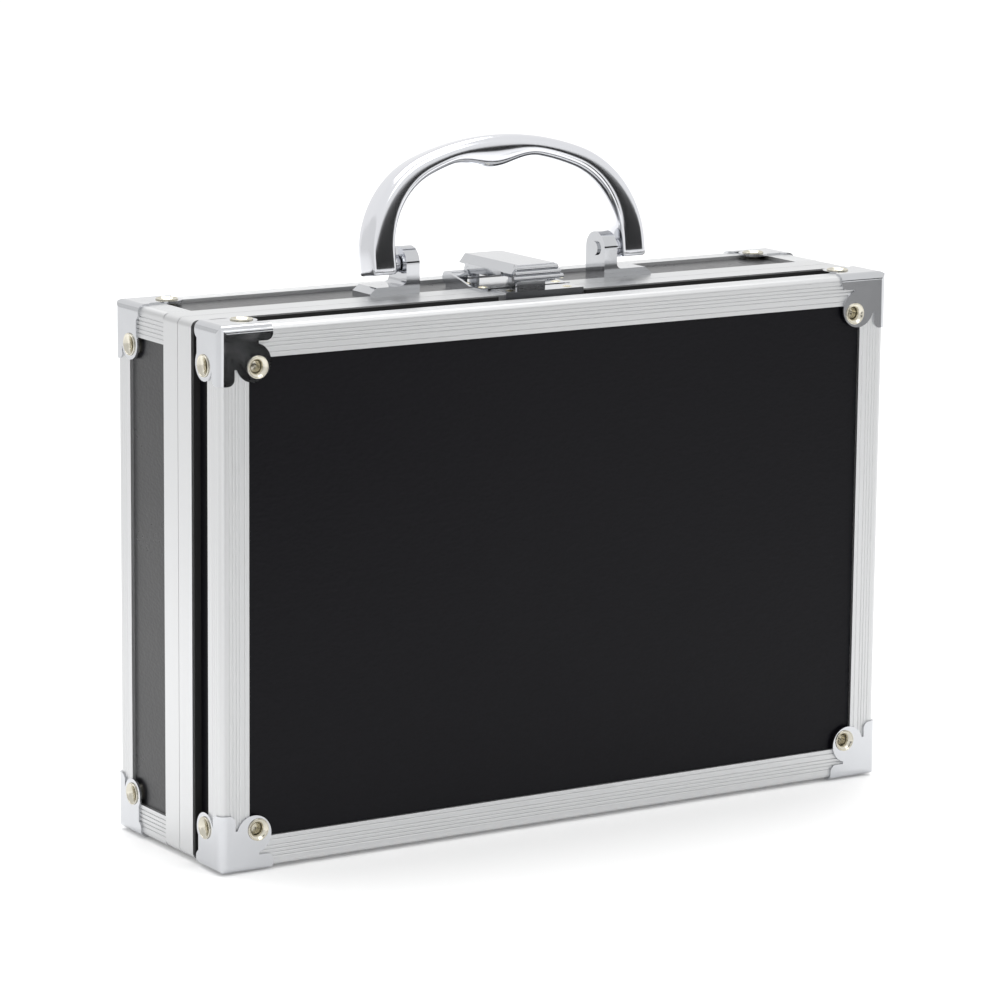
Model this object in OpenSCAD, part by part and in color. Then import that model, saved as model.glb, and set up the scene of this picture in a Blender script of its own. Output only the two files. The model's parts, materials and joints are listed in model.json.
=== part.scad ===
// Small aluminium-framed carrying case for art supplies, standing on its hinge side.
// Millimetres. X runs along the width, -Y is the lid side, +Z is up.
// The origin lies under the middle of the case, on the plane it stands on.

/* [Case] */
// Width of the aluminium frame
case_w = 280; // [220:1:360]
// Height of the aluminium frame as it stands
case_h = 190; // [150:1:260]
// Depth of the closed case
case_d = 75; // [70:0.5:120]
// Depth of the lid, from its front face to the parting line
lid_d = 30.5; // [29:0.5:34]
// Gap between the two mating frames
parting_gap = 0.2; // [0.1:0.1:0.6]

/* [Boards] */
// Thickness of the front and back panels
panel_t = 3; // [2:0.5:4]
// Thickness of the side boards
board_t = 3.5; // [2.5:0.5:4]
// Thickness of the black lining
lining_t = 1; // [0.6:0.1:1.5]

/* [Aluminium profiles] */
// Width of an edge angle across the front or back face
face_leg = 11; // [9:0.5:13]
// Width of an edge angle across the sides
side_leg = 9.4; // [8:0.1:9.4]
// Thickness of the angles, and how far the panels lie below them
angle_t = 1.2; // [1:0.1:1.6]
// How far the lid's side boards lie below its frame
lid_recess = 3; // [2.4:0.1:3.4]
// Outer rounding of the angles
edge_r = 2; // [1.5:0.1:2.5]
// Width of the base's mating frame
base_frame_w = 10.2; // [9:0.1:11]
// Width of the lid's mating frame
lid_frame_w = 9.6; // [9:0.1:10]
// Outer rounding where the mating frames bend round the corners
frame_r = 2.5; // [2:0.5:5]

/* [Corner caps] */
// Sheet thickness of a cap
cap_t = 0.8; // [0.5:0.1:1.0]
// Length of a cap's arms along the case edges
cap_arm = 20; // [18:0.5:22]
// Length of a cap's sides in the depth of the case
cap_depth = 17; // [16:0.5:18]
// Width of the arms
cap_arm_w = 5; // [4:0.5:6]
// Distance of a rivet from the edges it lies between
rivet_in = 14; // [13.4:0.1:14.4]
// Distance of a side rivet from the front or back face
rivet_depth = 10.6; // [10.4:0.1:12]

/* [Handle] */
// Overall width of the handle
handle_w = 117; // [105:1:125]
// Rise of the handle above its pivots
handle_rise = 43.7; // [40:0.1:48]
// Thickness of the handle's feet, seen from the front
handle_foot_t = 10.6; // [9:0.1:11]
// Thickness of the handle's grip, seen from the front
handle_grip_t = 7.6; // [7:0.1:9]
// Depth of the handle's section
handle_depth = 12; // [10:0.5:12]
// Angle at which the handle leans back
handle_lean = 9; // [0:1:12]
// Depth of the handle's pivots, measured from the front face
handle_at = 45.5; // [45:0.5:48]
// Height of the pivots above the frame
pivot_h = 10.3; // [10:0.1:11]
// Sideways place of the handle and the latch
fittings_x = 2; // [-4:0.5:4]

/* [Latch] */
// Width of the latch plate
latch_w = 38; // [34:1:42]
// Width of the strike plate
strike_w = 33; // [30:1:38]
// Width of the latch lever
lever_w = 20.6; // [18:0.2:22]
// Height of the lever's top above the frame
lever_h = 9.8; // [9.4:0.1:10.2]

/* [Hinges] */
// Length of a hinge
hinge_len = 30; // [24:1:40]
// Distance of the hinges from the middle
hinge_x = 85; // [60:1:100]

/* [Hidden] */
$fn = 64;
eps = 0.01;

// Hollow rivets
eyelet_rim_h = 0.5;
eyelet_r = 4;
eyelet_barrel_r = 2.3;
eyelet_neck = 2.3;
eyelet_len = 4.1;
stand = cap_t + eyelet_rim_h;

// Depths, from the front face
lid_frame_end = lid_d - parting_gap / 2;
lid_frame_start = lid_frame_end - lid_frame_w;
base_frame_start = lid_d + parting_gap / 2;
base_frame_end = base_frame_start + base_frame_w;
front_board_start = angle_t + panel_t;
lid_web = 3;
base_web = 1.6;
frame_lip = 1.2;
lid_inner_leg = 7;
base_inner_leg = 8;
trim_w = 1;

// Insets, from the outer faces
lid_in = lid_recess + board_t;
base_in = angle_t + board_t;
tongue_in = 3.6;
tongue_t = 1.4;
tongue_len = 1.5;
tongue_play = 0.3;

// Hinge
knuckle_r = 1.25;
hinge_bore_r = 0.70;
hinge_pin_r = 0.65;
hinge_notch_r = 1.65;
leaf_t = 0.8;
leaf_w = 9;
knuckle_len = 8.7;
small_rivet_r = 1.1;
small_head_r = 1.9;
small_head_h = 0.4;

// Handle bracket
bracket_in = 39.5;
bracket_len = 20.5;
bracket_w = 12.4;
bracket_foot = 3;
ear_t = 5.5;
ear_r = bracket_w / 2;
pivot_bore_r = 1.65;
pivot_pin_r = 1.6;
pivot_head_r = 2.6;
pivot_head_t = 0.8;
boss_r = 3.2;
body_gap = 0.3;

// Handle outline: straight feet, corner arcs and one flat top arc that meet tangentially
handle_half = handle_w / 2;
corner_arc_r = 38;
spring_h = 2;
corner_cx = handle_half - corner_arc_r;
top_arc_r = (corner_cx * corner_cx + pow(handle_rise - spring_h, 2) - corner_arc_r * corner_arc_r)
    / (2 * (handle_rise - spring_h - corner_arc_r));
top_arc_z = handle_rise - top_arc_r;
top_arc_half = atan2(corner_cx, spring_h - top_arc_z);
foot_drop = 3.8;
foot_power = 5;
grip_power = 2.4;
section_points = 16;
corner_steps = 9;
top_steps = 14;
swell_drop = 4.4;
swell_half = 20;
swell_x = -3;

// Latch
sheet_t = 1;
latch_start = base_frame_start + 0.5;
latch_end = 55;
lever_front = 24.5;
lever_rear = 60;
lever_pivot_d = 54;
lever_pivot_h = 4.6;
lever_pin_r = 1.2;
lever_bore_r = 1.25;
lever_lug_r = 2.4;
latch_ear_t = 1.2;
roll_r = 2.3;
roll_len = 8;
lip_drop = 5.6;
lip_reach = 2;
lip_beads = 3;
lip_bead_r = 0.95;
shoulder_h = 6.6;
hood_w = 15.4;
hook_pivot_d = 42;
hook_pivot_h = 5.6;
hook_w = 11;
hook_front = 25.7;
hook_tip_h = 3.4;
hook_pin_r = 0.8;
hook_bore_r = 0.85;
strike_t = 0.8;
strike_lip_d = 27.4;
strike_lip_top = 3;
strike_lip_w = 12;
strike_x = 1.2;
strike_front_drop = 2.6;

alu = [0.86, 0.87, 0.88];
chrome = [0.75, 0.76, 0.79];
brass = [0.80, 0.76, 0.62];
black = [0.06, 0.06, 0.07];
black_side = [0.12, 0.12, 0.13];

// ---------- placing ----------

// Case coordinates: X from the middle, Y from the front face, Z from the frame's lower side
module in_case() translate([0, -case_d / 2, stand]) children();

// A corner's own coordinates: the corner at the origin, every axis pointing into the case
module at_corner(right, back, top)
    translate([right ? case_w / 2 : -case_w / 2, back ? case_d : 0, top ? case_h : 0])
        mirror([right ? 1 : 0, 0, 0]) mirror([0, back ? 1 : 0, 0]) mirror([0, 0, top ? 1 : 0]) children();

module both_sides() {
    children();
    mirror([1, 0, 0]) children();
}

// Extrudes a shape drawn across the case (X, Z) from depth d0 to depth d1
module through(d0, d1) translate([0, d1, 0]) rotate([90, 0, 0]) linear_extrude(d1 - d0) children();

// A shape drawn in (Y, Z), extruded along X and centred
module along_x(length) rotate([90, 0, 90]) linear_extrude(length, center = true) children();

module rounded_rect(w, h, r) {
    square([w - 2 * r, h], center = true);
    square([w, h - 2 * r], center = true);
    for (x = [-1, 1], y = [-1, 1]) translate([x * (w / 2 - r), y * (h / 2 - r)]) circle(r);
}

// The case's outline, moved inwards, with its corners rounded
module outline(inset, r)
    translate([0, case_h / 2]) rounded_rect(case_w - 2 * inset, case_h - 2 * inset, max(r, 0.4));

module frame_ring(inset0, inset1, d0, d1)
    through(d0, d1) difference() {
        outline(inset0, frame_r - inset0);
        outline(inset1, frame_r - inset1);
    }

module box_from(low, high) translate(low) cube(high - low);

// ---------- aluminium angles ----------

// A square whose outer corner at the origin is rounded
module corner_square(w, h, r) {
    translate([r, 0]) square([w - r, h]);
    translate([0, r]) square([w, h - r]);
    translate([r, r]) circle(r);
}

groove_w = 0.5;
groove_depth = 0.22;
face_grooves = [3.4, 4.7, 6, 7.3, 9.4];
side_grooves = [3.4, 4.8, 6.2];
depth_grooves = [3.4, 4.9, 6.4, 7.9, 9.4];

module groove() polygon([[-eps, -groove_w / 2], [groove_depth, 0], [-eps, groove_w / 2]]);

// L section: the first leg runs along the second axis, the other leg along the first
module angle_section(leg_a, leg_b, t_a, t_b, grooves_a, grooves_b) difference() {
    corner_square(leg_b, leg_a, edge_r);
    translate([t_a, t_b]) square([leg_b, leg_a]);
    for (g = grooves_a) translate([0, g]) groove();
    for (g = grooves_b) translate([g, 0]) rotate(90) mirror([0, 1]) groove();
}

// One edge angle along X, mitred at both ends, lying on the lower front edge
module edge_angle(length, side_t) intersection() {
    along_x(length) angle_section(face_leg, side_leg, angle_t, side_t, face_grooves, side_grooves);
    through(0, side_leg) polygon([[-length / 2, 0], [length / 2, 0],
        [length / 2 - face_leg, face_leg], [-length / 2 + face_leg, face_leg]]);
}

module round_off_corners(d0, d1) intersection() {
    children();
    through(d0, d1) outline(0, edge_r);
}

module level_angle(top, back) in_case() difference() {
    round_off_corners(0, case_d) translate([0, back ? case_d : 0, top ? case_h : 0])
        mirror([0, back ? 1 : 0, 0]) mirror([0, 0, top ? 1 : 0])
            edge_angle(case_w, back ? angle_t : lid_recess);
    face_spots(back) eyelet_hole();
    level_spots(back, top) eyelet_hole();
}

module upright_angle(right, back) in_case() difference() {
    round_off_corners(0, case_d) mirror([right ? 1 : 0, 0, 0])
        translate([-case_w / 2, back ? case_d : 0, case_h / 2])
            mirror([0, back ? 1 : 0, 0]) rotate([0, 90, 0])
                edge_angle(case_h, back ? angle_t : lid_recess);
    face_spots(back) eyelet_hole();
    side_spots(back, right) eyelet_hole();
}

module front_angle_left() color(alu) upright_angle(false, false);
module front_angle_right() color(alu) upright_angle(true, false);
module front_angle_top() color(alu) level_angle(true, false);
module front_angle_bottom() color(alu) level_angle(false, false);
module back_angle_left() color(alu) upright_angle(false, true);
module back_angle_right() color(alu) upright_angle(true, true);
module back_angle_top() color(alu) level_angle(true, true);
module back_angle_bottom() color(alu) level_angle(false, true);

// Angles that run in the depth of the base, from its mating frame to the back angles
module depth_angle(right, top) color(alu) in_case() difference() {
    at_corner(right, true, top) translate([0, case_d - base_frame_end, 0]) rotate([90, 0, 0])
        linear_extrude(case_d - base_frame_end - side_leg)
            angle_section(face_leg, face_leg, angle_t, angle_t, depth_grooves, depth_grooves);
    side_spots(true, right) eyelet_hole();
    level_spots(true, top) eyelet_hole();
}

module depth_angle_top_left() depth_angle(false, true);
module depth_angle_top_right() depth_angle(true, true);
module depth_angle_bottom_left() depth_angle(false, false);
module depth_angle_bottom_right() depth_angle(true, false);

// ---------- mating frames ----------

// Room for the hinge knuckles on the parting line
module hinge_notches() both_sides() translate([hinge_x, lid_d, 0]) rotate([0, 90, 0])
    cylinder(r = hinge_notch_r, h = hinge_len + 2, center = true);

module base_mating_frame() color(alu) in_case() difference() {
    union() {
        frame_ring(0, angle_t, base_frame_start, base_frame_end);
        frame_ring(0, base_in + frame_lip, base_frame_start, base_frame_start + base_web);
        frame_ring(base_in, base_in + frame_lip, base_frame_start, base_frame_start + base_inner_leg);
        frame_ring(tongue_in, tongue_in + tongue_t, base_frame_start - tongue_len, base_frame_start + eps);
    }
    hinge_notches();
    hinge_rivet_spots(1) small_rivet_hole();
    latch_rivet_spots() small_rivet_hole();
}

module lid_mating_frame() color(alu) in_case() difference() {
    union() {
        frame_ring(0, lid_recess, lid_frame_start, lid_frame_end);
        frame_ring(0, lid_in + lining_t, lid_frame_end - lid_web, lid_frame_end);
        frame_ring(lid_in, lid_in + lining_t, lid_frame_end - lid_inner_leg, lid_frame_end);
    }
    frame_ring(tongue_in - tongue_play, tongue_in + tongue_t + tongue_play,
        lid_frame_end - tongue_len, lid_frame_end + eps);
    hinge_notches();
    hinge_rivet_spots(-1) small_rivet_hole();
    strike_rivet_spots() small_rivet_hole();
}

// Black trim along the frame's front wall, parted for the strike plate
module lid_edge_trim() color(black) in_case() difference() {
    frame_ring(0.4, lid_recess, lid_frame_start - trim_w, lid_frame_start);
    translate([fittings_x, lid_frame_start, case_h]) cube([strike_w + 4, 4, 8], center = true);
}

// ---------- boards, panels and linings ----------

module panel(inset, d0) color(black) in_case()
    box_from([-case_w / 2 + inset, d0, inset], [case_w / 2 - inset, d0 + panel_t, case_h - inset]);

module front_panel() difference() {
    panel(lid_recess, angle_t);
    in_case() face_spots(false) eyelet_hole();
}

module back_panel() difference() {
    panel(angle_t, case_d - angle_t - panel_t);
    in_case() face_spots(true) eyelet_hole();
}

lid_board_span = [front_board_start, lid_frame_end - lid_web];
base_board_span = [base_frame_start + base_web, case_d - angle_t - panel_t];

// The boards meet at the corners, level boards running over the upright ones
module level_board(inset, span, r, top) in_case() intersection() {
    translate([0, 0, top ? case_h : 0]) mirror([0, 0, top ? 1 : 0])
        box_from([-case_w / 2 + inset, span[0], inset], [case_w / 2 - inset, span[1], inset + board_t]);
    through(span[0], span[1]) outline(inset, r);
}

module upright_board(inset, span, right) in_case() mirror([right ? 1 : 0, 0, 0])
    box_from([-case_w / 2 + inset, span[0], inset + board_t],
        [-case_w / 2 + inset + board_t, span[1], case_h - inset - board_t]);

module lid_level_board(top) color(black) difference() {
    level_board(lid_recess, lid_board_span, frame_r - lid_recess, top);
    in_case() level_spots(false, top) eyelet_hole();
    if (top) in_case() strike_rivet_spots() small_rivet_hole();
}

module base_level_board(top) color(black_side) difference() {
    level_board(angle_t, base_board_span, frame_r - angle_t, top);
    in_case() level_spots(true, top) eyelet_hole();
    if (top) in_case() {
        bracket_rivet_spots() bracket_rivet_hole();
        latch_rivet_spots() small_rivet_hole();
    } else in_case() hinge_rivet_spots(1) small_rivet_hole();
}

module lid_upright_board(right) color(black) difference() {
    upright_board(lid_recess, lid_board_span, right);
    in_case() side_spots(false, right) eyelet_hole();
}

module base_upright_board(right) color(black_side) difference() {
    upright_board(angle_t, base_board_span, right);
    in_case() side_spots(true, right) eyelet_hole();
}

module lid_left_board() lid_upright_board(false);
module lid_right_board() lid_upright_board(true);
module lid_top_board() lid_level_board(true);
module lid_bottom_board() lid_level_board(false);
module base_left_board() base_upright_board(false);
module base_right_board() base_upright_board(true);
module base_top_board() base_level_board(true);
module base_bottom_board() base_level_board(false);

// A lining is a thin open tray: floor against the panel, walls against the boards
module lining(inset, floor0, floor1, wall0, wall1) color(black) in_case() {
    box_from([-case_w / 2 + inset, floor0, inset], [case_w / 2 - inset, floor1, case_h - inset]);
    difference() {
        box_from([-case_w / 2 + inset, wall0, inset], [case_w / 2 - inset, wall1, case_h - inset]);
        box_from([-case_w / 2 + inset + lining_t, wall0 - 1, inset + lining_t],
            [case_w / 2 - inset - lining_t, wall1 + 1, case_h - inset - lining_t]);
    }
}

module lid_lining() lining(lid_in, front_board_start, front_board_start + lining_t,
    front_board_start + lining_t - eps, lid_frame_end - lid_inner_leg - 0.2);

base_floor = case_d - angle_t - panel_t;
module base_lining() lining(base_in, base_floor - lining_t, base_floor,
    base_frame_start + base_inner_leg + 0.2, base_floor - lining_t + eps);

// ---------- corner caps ----------

cap_outer_r = edge_r + cap_t;

// A block with three rounded edges that meet at the corner
module rounded_corner_block(size, r) intersection() {
    linear_extrude(size) corner_square(size, size, r);
    translate([0, size, 0]) rotate([90, 0, 0]) linear_extrude(size) corner_square(size, size, r);
    rotate([90, 0, 90]) linear_extrude(size) corner_square(size, size, r);
}

// An arm along one edge of a cap's face, with a rounded end
module cap_arm_shape(length) {
    end = length + cap_t - cap_arm_w / 2;
    square([end, cap_arm_w + cap_t]);
    square([length + cap_t, cap_arm_w / 2 + cap_t]);
    translate([end, cap_t + cap_arm_w / 2]) circle(cap_arm_w / 2);
}

// One face of a cap: two arms along the edges, a filled corner and a round lobe round the rivet
module cap_face(len_a, len_b, fill_a, fill_b, lobe_a, lobe_b, lobe_r) translate([-cap_t, -cap_t]) {
    cap_arm_shape(len_a);
    mirror([1, -1]) cap_arm_shape(len_b);
    square([fill_a + cap_t, fill_b + cap_t]);
    translate([lobe_a + cap_t, lobe_b + cap_t]) circle(lobe_r);
}

face_lobe = 12.4;
face_lobe_r = 6.8;
side_lobe_r = 5.8;

module cap_side() cap_face(cap_depth, cap_arm, rivet_depth + side_lobe_r - 1, rivet_in - 2,
    rivet_depth, rivet_in - 0.4, side_lobe_r);

module cap(right, back, top) color(chrome) in_case() difference() {
    at_corner(right, back, top) intersection() {
        difference() {
            translate([-cap_t, -cap_t, -cap_t]) rounded_corner_block(30, cap_outer_r);
            rounded_corner_block(40, edge_r);
        }
        union() {
            translate([0, cap_outer_r, 0]) rotate([90, 0, 0]) linear_extrude(cap_outer_r + cap_t)
                cap_face(cap_arm, cap_arm, face_lobe + 2, face_lobe + 2, face_lobe, face_lobe, face_lobe_r);
            translate([-cap_t, 0, 0]) rotate([90, 0, 90]) linear_extrude(cap_outer_r + cap_t) cap_side();
            translate([0, 0, -cap_t]) linear_extrude(cap_outer_r + cap_t) mirror([1, -1]) cap_side();
        }
    }
    face_spots(back) eyelet_hole();
    side_spots(back, right) eyelet_hole();
    level_spots(back, top) eyelet_hole();
}

module front_cap_top_left() cap(false, false, true);
module front_cap_top_right() cap(true, false, true);
module front_cap_bottom_left() cap(false, false, false);
module front_cap_bottom_right() cap(true, false, false);
module back_cap_top_left() cap(false, true, true);
module back_cap_top_right() cap(true, true, true);
module back_cap_bottom_left() cap(false, true, false);
module back_cap_bottom_right() cap(true, true, false);

// ---------- eyelets ----------

// Places on the front or back face, at all four corners; +Z of each place points into the case
module face_spots(back) for (right = [false, true], top = [false, true])
    at_corner(right, back, top) translate([rivet_in, 0, rivet_in]) rotate([-90, 0, 0]) children();

module side_spots(back, right) for (top = [false, true])
    at_corner(right, back, top) translate([0, rivet_depth, rivet_in]) rotate([0, 90, 0]) children();

module level_spots(back, top) for (right = [false, true])
    at_corner(right, back, top) translate([rivet_in, rivet_depth, 0]) children();

module eyelet_hole() {
    play = 0.02;
    translate([0, 0, -2]) cylinder(r = eyelet_r + play, h = 2 - cap_t + eps);
    translate([0, 0, -cap_t])
        cylinder(r1 = eyelet_r + play, r2 = eyelet_barrel_r + play, h = eyelet_neck + cap_t);
    cylinder(r = eyelet_barrel_r + play, h = eyelet_len + 0.5);
}

// Hollow rivet: a low rolled rim, a funnel that narrows into the barrel, and a closed end
module eyelet() rotate_extrude() {
    wall = 0.35;
    crest = -cap_t - eyelet_rim_h;
    polygon([[0, eyelet_len], [eyelet_barrel_r, eyelet_len], [eyelet_barrel_r, eyelet_neck],
        [eyelet_r, -cap_t], [eyelet_r, -cap_t - eyelet_rim_h / 2], [eyelet_r - 0.15, crest],
        [eyelet_r - wall, crest], [eyelet_r - wall - 0.3, -cap_t], [2.85, 0.5], [2.3, 1.3],
        [1.9, 2.3], [1.75, 3.5], [0, 3.5]]);
}

module cap_eyelets(back) color(brass) in_case() {
    face_spots(back) eyelet();
    for (side = [false, true]) {
        side_spots(back, side) eyelet();
        level_spots(back, side) eyelet();
    }
}

module lid_cap_eyelets() cap_eyelets(false);
module base_cap_eyelets() cap_eyelets(true);

// ---------- hinges ----------

module hinge_at() both_sides() translate([hinge_x, lid_d, 0]) children();

module knuckle(length) rotate([0, 90, 0]) cylinder(r = knuckle_r, h = length, center = true);

// side is -1 on the lid and 1 on the base; the knuckles lie at the given places along X
module hinge_leaf(side, places, length) difference() {
    union() {
        mirror([0, side < 0 ? 1 : 0, 0])
            box_from([-hinge_len / 2, hinge_notch_r, -leaf_t], [hinge_len / 2, leaf_w, 0]);
        for (x = places) {
            translate([x, 0, 0]) knuckle(length);
            mirror([0, side < 0 ? 1 : 0, 0])
                box_from([x - length / 2, 0, -leaf_t], [x + length / 2, hinge_notch_r + eps, 0]);
        }
    }
    rotate([0, 90, 0]) cylinder(r = hinge_bore_r, h = hinge_len + 2, center = true);
}

mid_knuckle_len = hinge_len - 2 * knuckle_len - 2 * body_gap;
end_knuckle_x = hinge_len / 2 - knuckle_len / 2;

module base_hinge_leaves() color(chrome) difference() {
    in_case() hinge_at() hinge_leaf(1, [-end_knuckle_x, end_knuckle_x], knuckle_len);
    in_case() hinge_rivet_spots(1) small_rivet_hole();
}

module lid_hinge_leaves() color(chrome) difference() {
    in_case() hinge_at() hinge_leaf(-1, [0], mid_knuckle_len);
    in_case() hinge_rivet_spots(-1) small_rivet_hole();
}

module hinge_pins() color(chrome) in_case() hinge_at() rotate([0, 90, 0]) {
    cylinder(r = hinge_pin_r, h = hinge_len + 0.4, center = true);
    for (side = [-1, 1]) translate([0, 0, side * (hinge_len / 2 + 0.4)])
        cylinder(r = hinge_pin_r + 0.35, h = 0.6, center = true);
}

// Places of the small rivets in a leaf, +Z pointing up into the case
module hinge_rivet_spots(side) hinge_at() for (x = [-10, 10])
    translate([x, side * 5.6, -leaf_t]) children();

module small_rivet_hole() translate([0, 0, -1]) cylinder(r = small_rivet_r + 0.02, h = 4.2);

// Rivet with a low domed head below its place and a shank above it
module small_rivet() {
    dome_r = (small_head_r * small_head_r + small_head_h * small_head_h) / (2 * small_head_h);
    cylinder(r = small_rivet_r, h = 3);
    intersection() {
        translate([0, 0, dome_r - small_head_h]) sphere(dome_r);
        translate([0, 0, -small_head_h]) cylinder(r = small_head_r, h = small_head_h);
    }
}

module base_hinge_rivets() color(chrome) in_case() hinge_rivet_spots(1) small_rivet();
module lid_hinge_rivets() color(chrome) in_case() hinge_rivet_spots(-1) small_rivet();

// ---------- handle ----------

module at_handle() in_case() translate([fittings_x, handle_at, case_h]) children();

// The bar gets thinner and rounder from its feet to its grip
function climb(z) = pow(max(0, min(1, z / handle_rise)), 1.4);
function handle_t_at(z) = handle_foot_t + (handle_grip_t - handle_foot_t) * climb(z);
function power_at(z) = foot_power + (grip_power - foot_power) * climb(z);

// A ring is [x, z, angle of the outward direction, scale, thickness]
function arc_ring(cx, cz, r, a) =
    let (t = handle_t_at(cz + r * sin(a))) [cx + (r - t / 2) * cos(a), cz + (r - t / 2) * sin(a), a, 1, t];
function mirrored_ring(ring) = [-ring[0], ring[1], 180 - ring[2], ring[3], ring[4]];
function reversed(list) = [for (i = [len(list) - 1 : -1 : 0]) list[i]];

side_rings = concat(
    [for (end = [[0, 0.84], [1.1, 1]])
        [handle_half - handle_foot_t / 2, end[0] - foot_drop, 0, end[1], handle_foot_t]],
    [for (i = [0 : corner_steps])
        arc_ring(corner_cx, spring_h, corner_arc_r, i * (90 - top_arc_half) / corner_steps)]);
top_rings = [for (i = [1 : top_steps - 1])
    arc_ring(0, top_arc_z, top_arc_r, 90 - top_arc_half + i * 2 * top_arc_half / top_steps)];
handle_rings = concat(side_rings, top_rings, reversed([for (ring = side_rings) mirrored_ring(ring)]));

// The section is a rounded rectangle; its inner side swells under the middle of the grip
function rounded(c, power) = sign(c) * pow(abs(c), 2 / power);
function swell(x) =
    let (off = (x - swell_x) / swell_half)
        abs(off) < 1 ? swell_drop * pow(cos(90 * off), 2) : 0;
function ring_point(ring, a) =
    let (power = power_at(ring[1]),
        u = rounded(cos(a), power) * (ring[4] / 2 + (cos(a) < 0 ? swell(ring[0]) : 0)) * ring[3],
        v = rounded(sin(a), power) * handle_depth / 2 * ring[3])
    [ring[0] + u * cos(ring[2]), v, ring[1] + u * sin(ring[2])];

module handle_sweep() {
    n = section_points;
    count = len(handle_rings);
    points = [for (ring = handle_rings) for (k = [0 : n - 1]) ring_point(ring, 360 * (k + 0.5) / n)];
    sides = [for (i = [0 : count - 2]) for (k = [0 : n - 1])
        for (tri = [[0, n, 1], [1, n, n + 1]])
            [for (c = tri) let (far = c >= n, j = (k + (c % n)) % n) (i + (far ? 1 : 0)) * n + j]];
    first_end = [for (k = [0 : n - 1]) k];
    last_end = [for (k = [0 : n - 1]) count * n - 1 - k];
    polyhedron(points, concat(sides, [first_end, last_end]), convexity = 4);
}

module handle() color(chrome) at_handle() translate([0, 0, pivot_h]) rotate([-handle_lean, 0, 0])
    difference() {
        union() {
            handle_sweep();
            both_sides() translate([bracket_in + ear_t + body_gap, 0, 0]) rotate([0, 90, 0])
                cylinder(r = boss_r, h = handle_half - handle_foot_t - bracket_in - ear_t - body_gap + 1);
        }
        both_sides() translate([bracket_in, 0, 0]) rotate([0, 90, 0])
            cylinder(r = pivot_bore_r, h = handle_half - handle_foot_t + 6 - bracket_in);
    }

// Cast bracket: a foot on the frame and the board, and a round-topped ear beside the handle
module handle_bracket() difference() {
    union() {
        translate([bracket_in, 0, 0]) rotate([90, 0, 0])
            linear_extrude(bracket_w, center = true) {
                polygon([[0, 0], [bracket_len, 0], [bracket_len, 0.9], [bracket_len - 2.6, bracket_foot],
                    [0, bracket_foot]]);
                difference() {
                    square([ear_t + 2, bracket_foot + 2]);
                    translate([ear_t + 2, bracket_foot + 2]) circle(2);
                }
                square([ear_t, pivot_h]);
            }
        translate([bracket_in, 0, pivot_h]) rotate([0, 90, 0]) cylinder(r = ear_r, h = ear_t);
        box_from([bracket_in, base_frame_end - handle_at + 0.1, -angle_t],
            [bracket_in + bracket_len, bracket_w / 2, eps]);
    }
    translate([bracket_in - 1, 0, pivot_h]) rotate([0, 90, 0]) cylinder(r = pivot_bore_r, h = ear_t + 2);
    translate([bracket_rivet_x, bracket_rivet_d, 0]) bracket_rivet_hole();
}

bracket_rivet_x = 53;
bracket_rivet_d = 1.8;
module bracket_rivet_spots() at_fittings() both_sides()
    translate([bracket_rivet_x, bracket_rivet_d, 0]) children();
module at_fittings() translate([fittings_x, handle_at, case_h]) children();

module bracket_rivet_hole() {
    translate([0, 0, bracket_foot - 1]) cylinder(r = 2.22, h = 2);
    translate([0, 0, -4]) cylinder(r = 1.27, h = 8);
}

module handle_bracket_right() color(chrome) at_handle() handle_bracket();
module handle_bracket_left() color(chrome) at_handle() mirror([1, 0, 0]) handle_bracket();

module handle_bracket_rivets() color(chrome) in_case() bracket_rivet_spots() {
    translate([0, 0, bracket_foot - 1]) cylinder(r = 2.2, h = 1);
    translate([0, 0, -4]) cylinder(r = 1.25, h = 4 + bracket_foot - 1);
}

module handle_pins() color(chrome) at_handle() translate([0, 0, pivot_h]) both_sides() {
    translate([bracket_in - pivot_head_t, 0, 0]) rotate([0, 90, 0])
        cylinder(r = pivot_pin_r, h = handle_half - handle_foot_t + 5 - bracket_in + pivot_head_t);
    translate([bracket_in - pivot_head_t, 0, 0]) rotate([0, 90, 0])
        cylinder(r = pivot_head_r, h = pivot_head_t);
}

// ---------- latch ----------

module at_latch() in_case() translate([fittings_x, 0, case_h]) children();

// Plate with rolled rear ends, two ears for the lever and a bed that reaches down to the board
module latch_plate() color(chrome) difference() {
    at_latch() difference() {
        union() {
            box_from([-latch_w / 2, latch_start, 0], [latch_w / 2, latch_end, sheet_t]);
            box_from([-latch_w / 2, base_frame_end + 0.1, -angle_t], [latch_w / 2, latch_end, eps]);
            both_sides() {
                translate([latch_w / 2 - roll_len, latch_end, roll_r]) rotate([0, 90, 0])
                    cylinder(r = roll_r, h = roll_len);
                translate([latch_w / 2 - 1, 0, 0]) rotate([90, 0, 90]) linear_extrude(1)
                    polygon([[latch_start + 4, 0], [latch_end, 0], [latch_end, 2 * roll_r],
                        [latch_start + 14, sheet_t + 1.6]]);
                latch_ear();
            }
        }
        translate([0, lever_pivot_d, lever_pivot_h]) rotate([0, 90, 0])
            cylinder(r = lever_bore_r, h = lever_w, center = true);
    }
    in_case() latch_rivet_spots() small_rivet_hole();
}

ear_x = lever_w / 2 - sheet_t - 0.4;

module latch_ear() {
    translate([ear_x - latch_ear_t, lever_pivot_d, lever_pivot_h]) rotate([0, 90, 0])
        cylinder(r = lever_lug_r, h = latch_ear_t);
    box_from([ear_x - latch_ear_t, lever_pivot_d - 4, 0], [ear_x, lever_pivot_d + 1, lever_pivot_h]);
}

module latch_pin() color(chrome) at_latch() translate([0, lever_pivot_d, lever_pivot_h])
    rotate([0, 90, 0]) cylinder(r = lever_pin_r, h = lever_w, center = true);

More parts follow.
